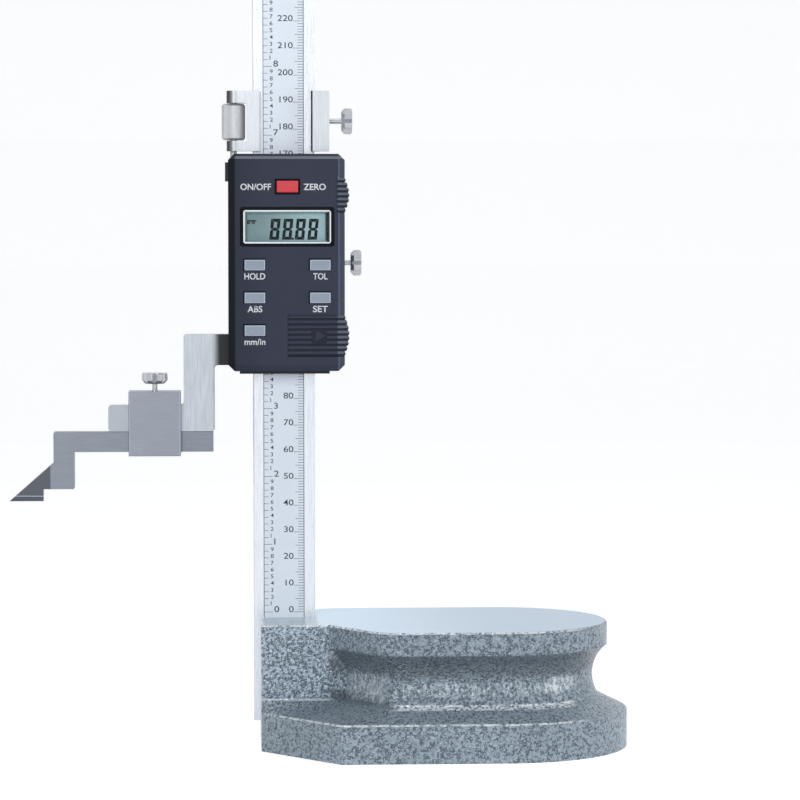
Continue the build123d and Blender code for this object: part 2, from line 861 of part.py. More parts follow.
with BuildPart() as display_window:
    with BuildSketch(facing(shell_inner)):
        frame_edge = frame_band + seat_gap
        with Locations((bezel_x, bezel_z)):
            Rectangle(frame_width - 2 * frame_edge, frame_height - 2 * frame_edge)
    extrude(amount=window_thickness)
save(display_window, "display_window")

with BuildPart() as lcd_glass:
    with BuildSketch(facing(lcd_rear)):
        with Locations((bezel_x, bezel_z)):
            Rectangle(lcd_width, lcd_height)
    extrude(amount=lcd_thickness)
save(lcd_glass, "lcd_glass")

with BuildPart() as contact_strips:
    with BuildSketch(facing(board_front - seat_gap)):
        with Locations((bezel_x, bezel_z)):
            with GridLocations(0, lcd_height - strip_width - 2 * strip_inset, 1, 2):
                Rectangle(strip_length, strip_width)
    extrude(amount=board_front - seat_gap - lcd_rear - seat_gap)
save(contact_strips, "contact_strips")

with BuildPart() as circuit_board:
    with BuildSketch(facing(board_rear)):
        area(
            shell_left + housing_wall + board_side_gap,
            shell_right - housing_wall - board_side_gap,
            shell_bottom + board_bottom_rise,
            shell_top - board_top_drop,
        )
        board_notch = housing_post + 2 * button_gap
        with Locations(*post_places):
            Rectangle(board_notch, board_notch, mode=Mode.SUBTRACT)
    extrude(amount=board_thickness)
save(circuit_board, "circuit_board")

with BuildPart() as reading_head:
    with BuildSketch(facing(beam_front - reader_gap)):
        area(
            window_left + seat_gap,
            window_left + reader_window_width - seat_gap,
            window_low + seat_gap,
            window_low + reader_window_height - seat_gap,
        )
    extrude(amount=reader_board_thickness)
    with BuildSketch(facing(beam_front - reader_gap - reader_board_thickness)):
        with Locations((window_left + reader_window_width / 2, window_low + reader_window_height / 2)):
            Rectangle(reader_post_width, reader_post_height)
    extrude(amount=beam_front - reader_gap - reader_board_thickness - board_rear - seat_gap)
save(reading_head, "reading_head")

# Buttons and the rubber mats under them
mat_front = board_front - seat_gap - mat_thickness
stem_rear = mat_front - key_travel - seat_gap


def button(x, z, width, height):
    """Push button: a cap that stands proud, a stem and a flange that keeps it behind the wall."""
    with BuildPart() as cap:
        with BuildSketch(facing(stem_rear)):
            with Locations((x, z)):
                Rectangle(width, height)
        extrude(amount=stem_rear - shell_front + key_proud)
        chamfer(cap.faces().sort_by(Axis.Y)[0].edges(), key_edge)
        with BuildSketch(facing(shell_inner + seat_gap + key_flange_thickness)):
            with Locations((x, z)):
                Rectangle(width + 2 * key_flange, height + 2 * key_flange)
        extrude(amount=key_flange_thickness)
    return cap


power_button = button(power_x, power_z, power_width, power_height)
save(power_button, "power_button")

for label, (x, z) in key_places.items():
    save(button(x, z, key_width, key_height), label)

with BuildPart() as keypad_mat:
    with BuildSketch(facing(board_front - seat_gap)):
        key_half_width = key_width / 2 + key_flange
        key_half_height = key_height / 2 + key_flange
        area(
            key_columns[0] - key_half_width,
            key_columns[1] + key_half_width,
            key_rows[1] - key_half_height,
            key_rows[0] + key_half_height,
        )
        area(
            key_columns[0] - key_half_width,
            key_columns[0] + key_half_width,
            key_rows[2] - key_half_height,
            key_rows[0],
        )
    extrude(amount=mat_thickness)
save(keypad_mat, "keypad_mat")

with BuildPart() as power_mat:
    with BuildSketch(facing(board_front - seat_gap)):
        with Locations((power_x, power_z)):
            Rectangle(power_width + 2 * key_flange, power_height + 2 * key_flange)
    extrude(amount=mat_thickness)
save(power_mat, "power_mat")

# Battery and its contact
battery_front = shell_inner + battery_gap
battery_back = battery_front + battery_thickness

with BuildPart() as battery:
    with Locations(from_front(battery_x, battery_back, battery_z)):
        Cylinder(battery_radius, battery_thickness, align=(Align.CENTER, Align.CENTER, Align.MIN))
save(battery, "battery")

# The contact is one bent leaf: its foot lies on the board and its tip on the cell
leaf_rear = board_front - seat_gap
leaf_front = battery_back + seat_gap

with BuildPart() as battery_contact:
    with BuildSketch(sideways(battery_x - contact_width / 2)):
        with BuildLine():
            Polyline(
                (leaf_rear, battery_z - contact_length / 2),
                (leaf_rear, battery_z - contact_length / 4),
                (leaf_front + contact_leaf, battery_z + contact_length / 4),
                (leaf_front + contact_leaf, battery_z + contact_length / 2),
                (leaf_front, battery_z + contact_length / 2),
                (leaf_front, battery_z + contact_length / 4),
                (leaf_rear - contact_leaf, battery_z - contact_length / 4),
                (leaf_rear - contact_leaf, battery_z - contact_length / 2),
                (leaf_rear, battery_z - contact_length / 2),
            )
        make_face()
    extrude(amount=contact_width)
save(battery_contact, "battery_contact")
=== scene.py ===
"""Looks of a digital height gauge: its finishes, graduations, lettering and display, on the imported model."""
from itertools import count, product
from math import asin, cos, pi, radians, sin, tan

import bmesh
import bpy
from bpy.props import FloatProperty, FloatVectorProperty, PointerProperty
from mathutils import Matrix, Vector


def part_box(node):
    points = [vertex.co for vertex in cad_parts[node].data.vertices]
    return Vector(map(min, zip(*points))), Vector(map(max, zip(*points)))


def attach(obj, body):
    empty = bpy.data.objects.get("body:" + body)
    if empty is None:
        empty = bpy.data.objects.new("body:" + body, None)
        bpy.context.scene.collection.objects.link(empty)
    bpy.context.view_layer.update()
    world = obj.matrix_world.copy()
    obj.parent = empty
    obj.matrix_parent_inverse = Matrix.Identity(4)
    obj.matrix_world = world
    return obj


bl_info = {
    "name": "Height gauge looks",
    "version": (1, 0, 0),
    "blender": (4, 5, 0),
    "location": "View3D > Sidebar > Height gauge",
    "description": "Finishes, graduations, lettering and display of a digital height gauge",
    "category": "Object",
}

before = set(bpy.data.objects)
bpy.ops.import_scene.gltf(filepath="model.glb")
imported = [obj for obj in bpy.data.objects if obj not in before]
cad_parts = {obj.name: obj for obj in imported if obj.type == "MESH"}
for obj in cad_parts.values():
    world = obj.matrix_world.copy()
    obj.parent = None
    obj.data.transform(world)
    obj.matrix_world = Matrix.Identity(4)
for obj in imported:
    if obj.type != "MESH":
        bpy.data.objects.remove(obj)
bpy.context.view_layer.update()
MM = 0.001
# Thickness of the print on the plate, the housing and the display
INK = 0.02 * MM
# Bare height at the top of the scale plate, and how far a numeral stands below the middle of its line
PLATE_MARGIN = 1.5 * MM
NUMERAL_DROP = 0.05 * MM
# The grey keys, with the word under each and its width in millimetres
FUNCTION_KEYS = {
    "hold_button": ("HOLD", 7.7),
    "tolerance_button": ("TOL", 5.3),
    "abs_button": ("ABS", 5.5),
    "set_button": ("SET", 5.5),
    "unit_button": ("mm/in", 7.7),
}


def mm(*lengths):
    """Lengths written in millimetres, in metres."""
    return tuple(length * MM for length in lengths)


def colour_property(label, text, default):
    """Colour that a user may change, in linear light."""
    return FloatVectorProperty(
        name=label, description=text, default=default, subtype="COLOR", size=3, min=0, max=1
    )


def size_property(label, text, default):
    """Length that a user may change, written in millimetres."""
    return FloatProperty(name=label, description=text, default=default * MM, unit="LENGTH", precision=5)


def power_property(label, text, default):
    """Power of a lamp that a user may change, in watts."""
    return FloatProperty(name=label, description=text, default=default, unit="POWER")


def factor_property(label, text, default):
    """Plain number that a user may change."""
    return FloatProperty(name=label, description=text, default=default)


class GaugePaint(bpy.types.PropertyGroup):
    """Colours of the gauge's finishes."""

    enamel: colour_property("Enamel", "Raised islands of the hammertone enamel", (0.330, 0.405, 0.475))
    enamel_pits: colour_property("Enamel pits", "Dark pits between the islands", (0.075, 0.100, 0.130))
    # Pale colour of the painted highlights on the enamel's edges and in the cove
    worn_enamel: colour_property("Enamel highlight", "Painted highlight on edges and in the cove", (0.88, 0.94, 0.99))
    ground_iron: colour_property("Ground iron", "Ground top of the base", (0.46, 0.58, 0.72))
    beam: colour_property("Beam", "Pale ground steel of the beam and the carriage", (0.66, 0.69, 0.74))
    steel: colour_property("Steel", "Ground steel of the slider and its arm", (0.420, 0.450, 0.490))
    scriber: colour_property("Scriber", "Darker steel of the scriber and its clamp", (0.228, 0.252, 0.292))
    plate: colour_property("Scale plate", "Pale ground of the printed scale", (0.70, 0.765, 0.85))
    ink: colour_property("Ink", "Graduations and numerals of the scale", (0.035, 0.042, 0.060))
    nickel: colour_property("Nickel", "Thumb screws and the feed wheel", (0.50, 0.51, 0.54))
    carbide: colour_property("Carbide", "Ground face of the scriber's edge", (0.070, 0.080, 0.098))
    housing: colour_property("Housing", "Moulded shell of the display head", (0.044, 0.052, 0.082))
    lettering: colour_property("Lettering", "White words beside the keys", (0.86, 0.90, 0.96))
    grey_key: colour_property("Grey keys", "Function keys", (0.330, 0.385, 0.475))
    red_key: colour_property("Red key", "Key that switches the display on and off", (0.74, 0.040, 0.060))
    display: colour_property("Display", "Ground of the liquid crystal display", (0.255, 0.385, 0.405))
    segment: colour_property("Segments", "Dark digits of the display", (0.002, 0.006, 0.008))


class ScalePrint(bpy.types.PropertyGroup):
    """Sizes of the scale's graduations."""

    zero: size_property("Zero height", "Height of the zero line above the ground", 48.75)
    line: size_property("Line width", "Width of a graduation", 0.16)
    border: size_property("Border width", "Width of the lines along both edges of the plate", 0.2)
    short: size_property("Millimetre line", "Length of a one-millimetre graduation", 2.0)
    middle: size_property("Five-millimetre line", "Length of a five-millimetre graduation", 3.1)
    long: size_property("Ten-millimetre line", "Length of a ten-millimetre graduation", 3.7)
    numeral: size_property("Numeral height", "Height of the numerals on the millimetre side", 2.25)
    widen: factor_property("Numeral widening", "Stretch of the numerals along the lines", 1.22)
    weight: factor_property("Numeral weight", "Thickening of the numerals' strokes", 0.004)
    tenth_line: size_property("Tenth line", "Length of a tenth-of-an-inch graduation", 1.6)
    inch_line: size_property("Inch line", "Length of a whole-inch graduation", 3.1)
    tenth_numeral: size_property("Tenth numeral height", "Height of the numerals of the tenths", 1.5)
    inch_numeral: size_property("Inch numeral height", "Height of the whole-inch numerals", 2.3)


class DisplayPrint(bpy.types.PropertyGroup):
    """Sizes of the display's digits and of the words on the housing."""

    digit_height: size_property("Digit height", "Height of a seven-segment digit", 7.7)
    digit_width: size_property("Digit width", "Width of a seven-segment digit", 3.5)
    digit_pitch: size_property("Digit pitch", "Distance between the digits", 4.68)
    stroke: size_property("Segment stroke", "Thickness of a segment", 1.15)
    slant: FloatProperty(
        name="Slant", description="Lean of the digits", default=radians(5.5), subtype="ANGLE"
    )
    word_height: size_property("Word height", "Cap height of the words on the housing", 2.42)
    word_weight: factor_property("Word weight", "Thickening of the words' strokes", 0.02)


class StudioLight(bpy.types.PropertyGroup):
    """Strengths of the studio lamps and of the room."""

    key: power_property("Key", "Soft box at the front left", 7.6)
    fill: power_property("Fill", "Soft box at the front right", 4.6)
    top: power_property("Top", "Soft box above", 1.4)
    room: factor_property("Room", "Plain light from all round", 0.19)


class Wire:
    """An output socket that takes part in Python expressions, with numbers on either side."""

    def __init__(self, finish, socket):
        self.finish = finish
        self.socket = socket

    def __add__(self, other):
        return self.finish.math("ADD", self, other)

    def __sub__(self, other):
        return self.finish.math("SUBTRACT", self, other)

    def __rsub__(self, other):
        return self.finish.math("SUBTRACT", other, self)

    def __mul__(self, other):
        return self.finish.math("MULTIPLY", self, other)

    __radd__ = __add__
    __rmul__ = __mul__

    def step(self, low, high):
        """Smooth rise from 0 at low to 1 at high; low may be the greater of the two."""
        inputs = {"Value": self, "From Min": low, "From Max": high}
        return self.finish.node("ShaderNodeMapRange", {"interpolation_type": "SMOOTHSTEP"}, inputs)

    def band(self, low, high, soft):
        """1 between low and high, with soft edges."""
        return self.step(low - soft, low + soft) * self.step(high + soft, high - soft)


class Finish:
    """One material, or the world: its node tree and the few calls that build it."""

    def __init__(self, name, kind="Material"):
        blocks = bpy.data.worlds if kind == "World" else bpy.data.materials
        self.owner = blocks.new(name)
        self.owner.use_nodes = True
        self.tree = self.owner.node_tree
        self.tree.nodes.clear()
        self.end = self.tree.nodes.new("ShaderNodeOutput" + kind)

    def node(self, kind, settings=None, inputs=None, output=0):
        """Add any node: its settings first, then the values or links of its sockets."""
        node = self.tree.nodes.new(kind)
        for name, value in (settings or {}).items():
            setattr(node, name, value)
        for key, value in (inputs or {}).items():
            self.feed(node.inputs[key], value)
        return Wire(self, node.outputs[output])

    def feed(self, socket, value):
        """Link a wire to a socket, or set its value."""
        if isinstance(value, Wire):
            self.tree.links.new(value.socket, socket)
        elif socket.type == "RGBA" and len(value) == 3:
            socket.default_value = (*value, 1)
        else:
            socket.default_value = value

    def math(self, operation, *values):
        return self.node("ShaderNodeMath", {"operation": operation}, dict(enumerate(values)))

    def place(self):
        """Position on the piece in metres; it stays with the piece as it moves."""
        return self.node("ShaderNodeTexCoord", output="Object")

    def facing(self):
        """Direction that the surface faces, in the piece's own axes."""
        return self.node("ShaderNodeTexCoord", output="Normal")

    def axis(self, vector, name):
        return self.node("ShaderNodeSeparateXYZ", inputs={"Vector": vector}, output=name)

    def stretch(self, vector, x, y, z):
        """The vector times one number along each axis."""
        return self.node("ShaderNodeVectorMath", {"operation": "MULTIPLY"}, {0: vector, 1: (x, y, z)})

    def shift(self, vector, drift, amount):
        """The vector moved by a colour's swing about its middle."""
        centred = self.node("ShaderNodeVectorMath", {"operation": "SUBTRACT"}, {0: drift, 1: (0.5, 0.5, 0.5)})
        scaled = self.stretch(centred, amount, amount, amount)
        return self.node("ShaderNodeVectorMath", {"operation": "ADD"}, {0: vector, 1: scaled})

    def noise(self, vector, scale, detail=2.0, roughness=0.5, output="Fac"):
        inputs = {"Vector": vector, "Scale": scale, "Detail": detail, "Roughness": roughness}
        return self.node("ShaderNodeTexNoise", inputs=inputs, output=output)

    def cells(self, vector, scale, feature="F1"):
        """Distance to the nearest cell's point, or to the cells' edges."""
        inputs = {"Vector": vector, "Scale": scale}
        return self.node("ShaderNodeTexVoronoi", {"feature": feature}, inputs, output="Distance")

    def blend(self, low, high, factor):
        """Colour between two colours."""
        return self.node("ShaderNodeMix", {"data_type": "RGBA"}, {0: factor, 6: low, 7: high}, output=2)

    def bump(self, height, distance, strength, normal=None):
        inputs = {"Height": height, "Distance": distance, "Strength": strength}
        if normal:
            inputs["Normal"] = normal
        return self.node("ShaderNodeBump", inputs=inputs, output="Normal")

    def seen(self):
        """1 where the camera, gloss or glass looks, and 0 where the light only falls on the object."""
        rays = ("Is Camera Ray", "Is Glossy Ray", "Is Transmission Ray")
        camera, gloss, glass = (self.node("ShaderNodeLightPath", output=ray) for ray in rays)
        return self.math("MAXIMUM", self.math("MAXIMUM", camera, gloss), glass)

    def surface(self, **inputs):
        """Close the material with one principled shader; underscores stand for spaces."""
        sockets = {}
        for name, value in inputs.items():
            sockets[name.replace("_", " ").title().replace("Ior", "IOR")] = value
        shader = self.node("ShaderNodeBsdfPrincipled", inputs=sockets)
        self.feed(self.end.inputs["Surface"], shader)
        return self.owner


def tint(colour, amount):
    """The colour made lighter or darker by a factor."""
    return tuple(min(1.0, part * amount) for part in colour)


def worn_places(finish, place):
    """Where painted highlights brighten the enamel: on upper edges, in the cove's foot and in runs of the
    lower cove.
    """
    height = finish.axis(place, "Z")
    across = finish.axis(place, "X")
    # Painted highlight lines along the table's edge and the flange's edge, apart from the round end
    crest_highlights = height.band(*mm(45.84, 46.42, 0.06)) + height.band(*mm(13.64, 14.25, 0.06))
    thin = finish.noise(place, 700).step(0.34, 0.54) * across.step(*mm(54, 43))
    # Painted highlight line where the boss meets the shoulder
    ledge_highlight = height.band(*mm(18.95, 19.5, 0.05)) * across.step(*mm(-42, -44))
    edges = finish.math("MAXIMUM", crest_highlights * thin * 0.9, ledge_highlight * 0.75)
    # Painted glints along the foot of the cove
    glints = finish.noise(place, 850, detail=1.0).step(0.42, 0.51)
    foot = height.band(*mm(18.1, 19.7, 0.3)) * across.band(*mm(-21, 46, 2)) * glints
    # Painted highlight pools in the lower cove, broken into upright runs
    runs = finish.noise(finish.stretch(place, 900, 900, 330), 1.0).step(0.46, 0.60)
    middle = height.band(*mm(22.6, 27.4, 0.8)) * across.band(*mm(-18, 38, 4))
    left = height.band(*mm(20.6, 30.0, 1.2)) * across.band(*mm(-36, -23, 1.5))
    right = height.band(*mm(23.6, 28.6, 1.2)) * across.band(*mm(36, 46, 2.5))
    pools = middle * 0.42 * runs + (left * 0.55 + right * 0.85) * (runs * 0.75 + 0.25)
    return finish.math("MAXIMUM", edges, finish.math("MAXIMUM", foot, pools))


def enamel_colour(finish, place, paint, pits, fine):
    """Colour of the enamel coat, with what changes it over the length and height of the base: tone, pits,
    painted light, painted shade and painted highlights.
    """
    height = finish.axis(place, "Z")
    across = finish.axis(place, "X")
    clouds = finish.noise(place, 60)
    island = finish.blend(tint(paint.enamel, 0.84), tint(paint.enamel, 1.20), clouds)
    # Painted light: the round end of the base and the boss at its flat end are painted a little paler, as
    # where they are lit more
    round_end_light = across.step(*mm(30, 68)) * 0.35
    boss = across.step(*mm(-40, -46)) * height.step(*mm(18, 20)) * 0.8
    island = finish.blend(island, tint(paint.enamel, 1.55), finish.math("MAXIMUM", round_end_light, boss))
    coat = finish.blend(island, paint.enamel_pits, pits * 0.92 + fine * 0.08)
    # Painted shade: under the table the cove gets less of the room's light, and the corner where the boss
    # meets the cove is painted darker too
    painted_cove_shade = height.band(*mm(29.5, 37.8, 2.2)) * across.step(*mm(-46, -38)) * 0.56
    corner = height.band(*mm(19.2, 22.6, 0.8)) * across.band(*mm(-42, -22, 1.5)) * 0.5
    coat = finish.blend(coat, tint(paint.enamel, 0.22), finish.math("MAXIMUM", painted_cove_shade, corner))
    # Painted highlights over the coat
    return finish.blend(coat, paint.worn_enamel, worn_places(finish, place))


def ground_colour(finish, place, iron, scratches):
    """Colour of the bare iron: painted reflection makes it brighter towards the beam, painted shade makes it
    greyer on the boss, and it has dark specks.
    """
    across = finish.axis(place, "X")
    boss_shade_grey = (0.46, 0.50, 0.50)
    specks = finish.noise(place, 1500).step(0.60, 0.72)
    ground = finish.blend(tint(iron, 0.90), tint(iron, 1.08), scratches)
    # Painted reflection: the ground iron is painted brighter towards the beam
    ground = finish.blend(ground, tint(iron, 1.45), across.step(*mm(25, -46)) * 0.9)
    # Painted shade: the ground faces at the boss are painted greyer
    ground = finish.blend(ground, boss_shade_grey, across.step(*mm(-46.5, -48)) * 0.8)
    return finish.blend(ground, tint(iron, 0.62), specks * 0.35)


def hammertone(paint):
    """Enamel that dried in swollen islands with dark wormy pits between; the ground faces are bare."""
    finish = Finish("hammertone enamel")
    place = finish.place()
    drift = finish.noise(place, 900, detail=1.0, output="Color")
    edge = finish.cells(finish.shift(place, drift, 0.0018), 860, feature="DISTANCE_TO_EDGE")
    fine = finish.noise(place, 2600)
    breaks = finish.noise(place, 800, detail=1.5).step(0.42, 0.58)
    swell = edge.step(0.0, 0.42)
    pits = (1 - edge.step(0.02, 0.20)) * breaks
    scratches = finish.noise(finish.stretch(place, 260, 2600, 260), 1.0, detail=3.0)
    height = finish.axis(place, "Z")
    top = height.step(*mm(46.40, 46.46))
    end = finish.axis(place, "X").step(*mm(-68.12, -68.19))
    under = height.step(*mm(0.06, 0.02))
    bare = finish.math("MAXIMUM", finish.math("MAXIMUM", top, end), under)
    coat = enamel_colour(finish, place, paint, pits, fine)
    ground = ground_colour(finish, place, paint.ground_iron, scratches)
    enamel_relief = finish.bump((swell - pits * 0.4 + fine * 0.10) * (1 - bare), 0.00036, 0.9)
    return finish.surface(
        base_color=finish.blend(coat, ground, bare),
        metallic=0.36 + bare * 0.44,
        roughness=(0.33 + pits * 0.2) * (1 - bare) + (0.24 + scratches * 0.12) * bare,
        coat_weight=0.25 * (1 - bare),
        coat_roughness=0.15,
        normal=finish.bump(scratches * bare, 0.00004, 0.5, enamel_relief),
    )


def ground_steel(name, colour, roughness, along="Z", grain=1.0, marks=()):
    """Steel ground along one axis: fine lines, faint clouds and a soft sheen.

    Each mark gives an axis, two places on it in millimetres and a factor: the colour changes by the factor
    from the first place to the second and beyond, or in a line between them where a width is given too.
    """
    finish = Finish(name)
    place = finish.place()
    fast, slow = 3600, 110
    scales = [slow if letter == along else fast for letter in "XYZ"]
    lines = finish.noise(finish.stretch(place, *scales), 1.0, detail=4.0, roughness=0.65)
    clouds = finish.noise(place, 90, detail=3.0)
    shade = lines.step(0.30, 0.70) * 0.6 + clouds * 0.4
    skin = finish.blend(tint(colour, 1 - 0.12 * grain), tint(colour, 1 + 0.10 * grain), shade)
    for letter, start, end, factor, *width in marks:
        where = finish.axis(place, letter)
        cover = where.band(*mm(start, end, *width)) if width else where.step(*mm(start, end))
        skin = finish.blend(skin, tint(colour, factor), cover)
    return finish.surface(
        base_color=skin,
        metallic=0.85,
        roughness=roughness + lines * 0.14 - 0.05,
        normal=finish.bump(lines, 0.00003 * grain, 0.6),
    )


def printed_plate(paint):
    """Pale satin plate, faintly brushed along its length."""
    finish = Finish("scale plate")
    place = finish.place()
    lines = finish.noise(finish.stretch(place, 2600, 2600, 30), 1.0, detail=3.0)
    clouds = finish.noise(place, 140, detail=3.0)
    return finish.surface(
        base_color=finish.blend(tint(paint.plate, 0.95), tint(paint.plate, 1.05), lines * 0.5 + clouds * 0.5),
        metallic=0.25,
        roughness=0.36 + clouds * 0.1,
        normal=finish.bump(lines, 0.00001, 0.5),
    )


def turned_metal(name, colour, roughness=0.16):
    """Bright plated metal with fine turning lines and small scuffs."""
    finish = Finish(name)
    place = finish.place()
    rings = finish.noise(finish.stretch(place, 3200, 3200, 640), 1.0)
    scuffs = finish.noise(place, 700, detail=4.0).step(0.5, 0.75)
    return finish.surface(
        base_color=finish.blend(tint(colour, 1.05), tint(colour, 0.78), scuffs),
        metallic=0.7,
        roughness=roughness + scuffs * 0.16 + rings * 0.05,
        normal=finish.bump(rings, 0.00002, 0.35),
    )


def knurled_metal(name, colour, centre, teeth):
    """Plated wheel with a fine straight knurl round an upright axis through the centre."""
    finish = Finish(name)
    place = finish.place()
    turn = finish.math("ARCTAN2", finish.axis(place, "Y") - centre[1], finish.axis(place, "X") - centre[0])
    knurl = finish.math("SINE", turn * teeth)
    scuffs = finish.noise(place, 700, detail=4.0).step(0.5, 0.75)
    return finish.surface(
        # Painted light and shade: the colour swings lighter and darker with each tooth of the knurl
        base_color=finish.blend(tint(colour, 1.02), tint(colour, 1.34), knurl * 0.4 + 0.5 - scuffs * 0.3),
        metallic=0.5,
        roughness=0.38 + scuffs * 0.14,
        normal=finish.bump(knurl, 0.00006, 0.8),
    )


def moulded(name, colour, roughness=0.5, grain=0.00003, sheen=0.0, rim_highlight=1.0):
    """Moulded plastic with a fine spark-eroded grain; rim_highlight is a painted highlight that lightens the
    slanted edges of the front.
    """
    finish = Finish(name)
    place = finish.place()
    sparks = finish.noise(place, 4200)
    clouds = finish.noise(place, 70)
    skin = finish.blend(tint(colour, 0.88), tint(colour, 1.14), sparks * 0.4 + clouds * 0.6)
    # Painted highlight on the slanted edges of the front
    edge = finish.axis(finish.facing(), "Y").band(-0.9, -0.3, 0.05)
    return finish.surface(
        base_color=finish.blend(skin, tint(colour, rim_highlight), edge),
        roughness=roughness + sparks * 0.12 - 0.04,
        specular_ior_level=0.4,
        normal=finish.bump(sparks, grain, 0.6),
        coat_weight=sheen,
        coat_roughness=0.3,
    )


def cover_plastic(paint):
    """The housing's plastic on a ribbed cover: painted shade in the grooves and in the arrow's field, painted
    light on the ribs' upward faces and a painted highlight on the ribs at the right bevel.
    """
    finish = Finish("cover plastic")
    place = finish.place()
    toward = finish.axis(finish.facing(), "Y")
    upward = finish.axis(finish.facing(), "Z")
    across = finish.axis(place, "X")
    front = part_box("battery_cover")[0].y
    right_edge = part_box("housing")[1].x
    sparks = finish.noise(place, 4200)
    skin = finish.blend(tint(paint.housing, 0.85), tint(paint.housing, 1.05), sparks)
    # Painted shade on the downward faces of the ribs and painted light on their upward faces
    skin = finish.blend(skin, tint(paint.housing, 0.40), upward.step(-0.1, -0.3) * 0.8)
    skin = finish.blend(skin, tint(paint.housing, 1.25), upward.step(0.1, 0.3) * 0.7)
    # Painted highlight on the ribs at the right bevel
    crest_highlight = upward.step(-0.25, -0.05) * across.step(right_edge - 3.0 * MM, right_edge - 2.5 * MM)
    skin = finish.blend(skin, (0.17, 0.19, 0.24), crest_highlight * 0.8)
    # Painted shade on the front faces that lie deeper, in the arrow's field
    field = toward.step(-0.96, -0.99) * finish.axis(place, "Y").step(front + 0.2 * MM, front + 0.35 * MM)
    return finish.surface(
        base_color=finish.blend(skin, tint(paint.housing, 0.35), field * 0.6),
        roughness=0.46 + sparks * 0.12,
        specular_ior_level=0.12,
        normal=finish.bump(sparks, 0.00003, 0.6),
    )


def housing_plastic(paint):
    """Matte shell: painted shade makes it near black in the front's recesses and on the left bevel, and
    painted light makes it a little paler at the right.
    """
    finish = Finish("housing plastic")
    place = finish.place()
    low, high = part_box("housing")
    across, deep, height = (finish.axis(place, letter) for letter in "XYZ")
    sparks = finish.noise(place, 4200)
    clouds = finish.noise(place, 70)
    skin = finish.blend(tint(paint.housing, 0.88), tint(paint.housing, 1.14), sparks * 0.4 + clouds * 0.6)
    # Painted shade: the front is a little darker towards its left
    skin = finish.blend(skin, tint(paint.housing, 0.62), across.step(-62 * MM, low.x) * 0.6)
    margin = 3.0 * MM
    soft = 0.05 * MM
    beside = across.band(low.x + margin, high.x - margin, soft)
    inside = beside * height.band(low.z + margin, high.z - margin, soft)
    recess_shade = inside * deep.step(low.y + 0.12 * MM, low.y + 0.3 * MM)
    left = across.step(low.x + 2.9 * MM, low.x + 2.1 * MM)
    # Painted shade in the front's recesses and on the left bevel
    dark = finish.math("MAXIMUM", recess_shade * 0.95, left * 0.85)
    # Painted light: the right bevel is painted a little paler
    right = across.step(high.x - 2.5 * MM, high.x - 2.2 * MM)
    skin = finish.blend(skin, tint(paint.housing, 1.8), right * 0.7)
    # Painted highlights: pale lines along the upper bevel and the right bevel
    bevel_highlight = (0.23, 0.25, 0.30)
    ridge_highlight = across.band(high.x - 2.45 * MM, high.x - 1.95 * MM, 0.1 * MM)
    upper = height.band(high.z - 1.90 * MM, high.z - 0.95 * MM, 0.15 * MM)
    skin = finish.blend(skin, bevel_highlight, finish.math("MAXIMUM", ridge_highlight * 0.42, upper * 0.9))
    return finish.surface(
        base_color=finish.blend(skin, tint(paint.housing, 0.06), dark),
        roughness=0.46 + sparks * 0.12 + dark * 0.15,
        specular_ior_level=0.12,
        normal=finish.bump(sparks, 0.00003, 0.6),
    )


def printed(name, colour, roughness=0.45, gloss=0.3):
    """Ink: nearly even, a little thinner in places."""
    finish = Finish(name)
    wear = finish.noise(finish.place(), 1800, detail=3.0)
    return finish.surface(
        base_color=finish.blend(tint(colour, 0.9), tint(colour, 1.12), wear),
        roughness=roughness + wear * 0.1,
        specular_ior_level=gloss,
    )


def display_ground(paint):
    """Grey-green display, a little lighter to the right, with painted shade darkening its right edge."""
    finish = Finish("display ground")
    place = finish.place()
    across = finish.axis(place, "X")
    low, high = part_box("display_window")
    shade = across.step(low.x, high.x)
    # Painted shade along the right edge
    edge = across.step(high.x - 1.5 * MM, high.x - 0.7 * MM)
    film = finish.noise(place, 1500)
    ground = finish.blend(tint(paint.display, 0.80), tint(paint.display, 1.8), shade * 0.85 + film * 0.15)
    return finish.surface(
        base_color=finish.blend(ground, paint.segment, edge),
        roughness=0.42 + film * 0.08,
        specular_ior_level=0.2,
    )


def window_frame(paint):
    """Bright brushed frame; its inner margin takes the display's tone."""
    finish = Finish("display frame")
    place = finish.place()
    low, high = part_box("display_frame")
    lines = finish.noise(finish.stretch(place, 60, 3000, 3000), 1.0, detail=3.0)
    bright = finish.blend((0.70, 0.76, 0.80), (0.84, 0.89, 0.92), lines)
    width = 0.46 * MM
    soft = 0.04 * MM
    across = finish.axis(place, "X")
    beside = across.band(low.x + width, high.x - width, soft)
    inner = beside * finish.axis(place, "Z").band(low.z + width, high.z - width, soft)
    # Painted shade: the inner margin darkens towards the right edge
    shade = across.step(high.x - 1.7 * MM, high.x - 1.2 * MM)
    margin = finish.blend(tint(paint.display, 0.8), paint.segment, shade)
    return finish.surface(
        base_color=finish.blend(bright, margin, inner),
        metallic=0.4 * (1 - inner),
        roughness=0.3 + lines * 0.12,
    )


def clear_sheet():
    """Clear plastic window: a thin film of gloss over what lies behind."""
    finish = Finish("clear window")
    haze = finish.noise(finish.place(), 900)
    return finish.surface(
        base_color=(0.5, 0.58, 0.6), alpha=0.01 + haze * 0.02, roughness=0.06 + haze * 0.03
    )


def circuit(name):
    """Green coated board with darker tracks."""
    finish = Finish(name)
    place = finish.place()
    track_green = (0.010, 0.060, 0.030)
    board_green = (0.022, 0.130, 0.062)
    tracks = finish.cells(finish.stretch(place, 900, 0, 420), 1.0).step(0.32, 0.38)
    film = finish.noise(place, 800)
    return finish.surface(
        base_color=finish.blend(track_green, board_green, tracks * 0.7 + film * 0.3),
        roughness=0.3 + film * 0.1,
        normal=finish.bump(tracks, 0.00003, 0.5),
    )


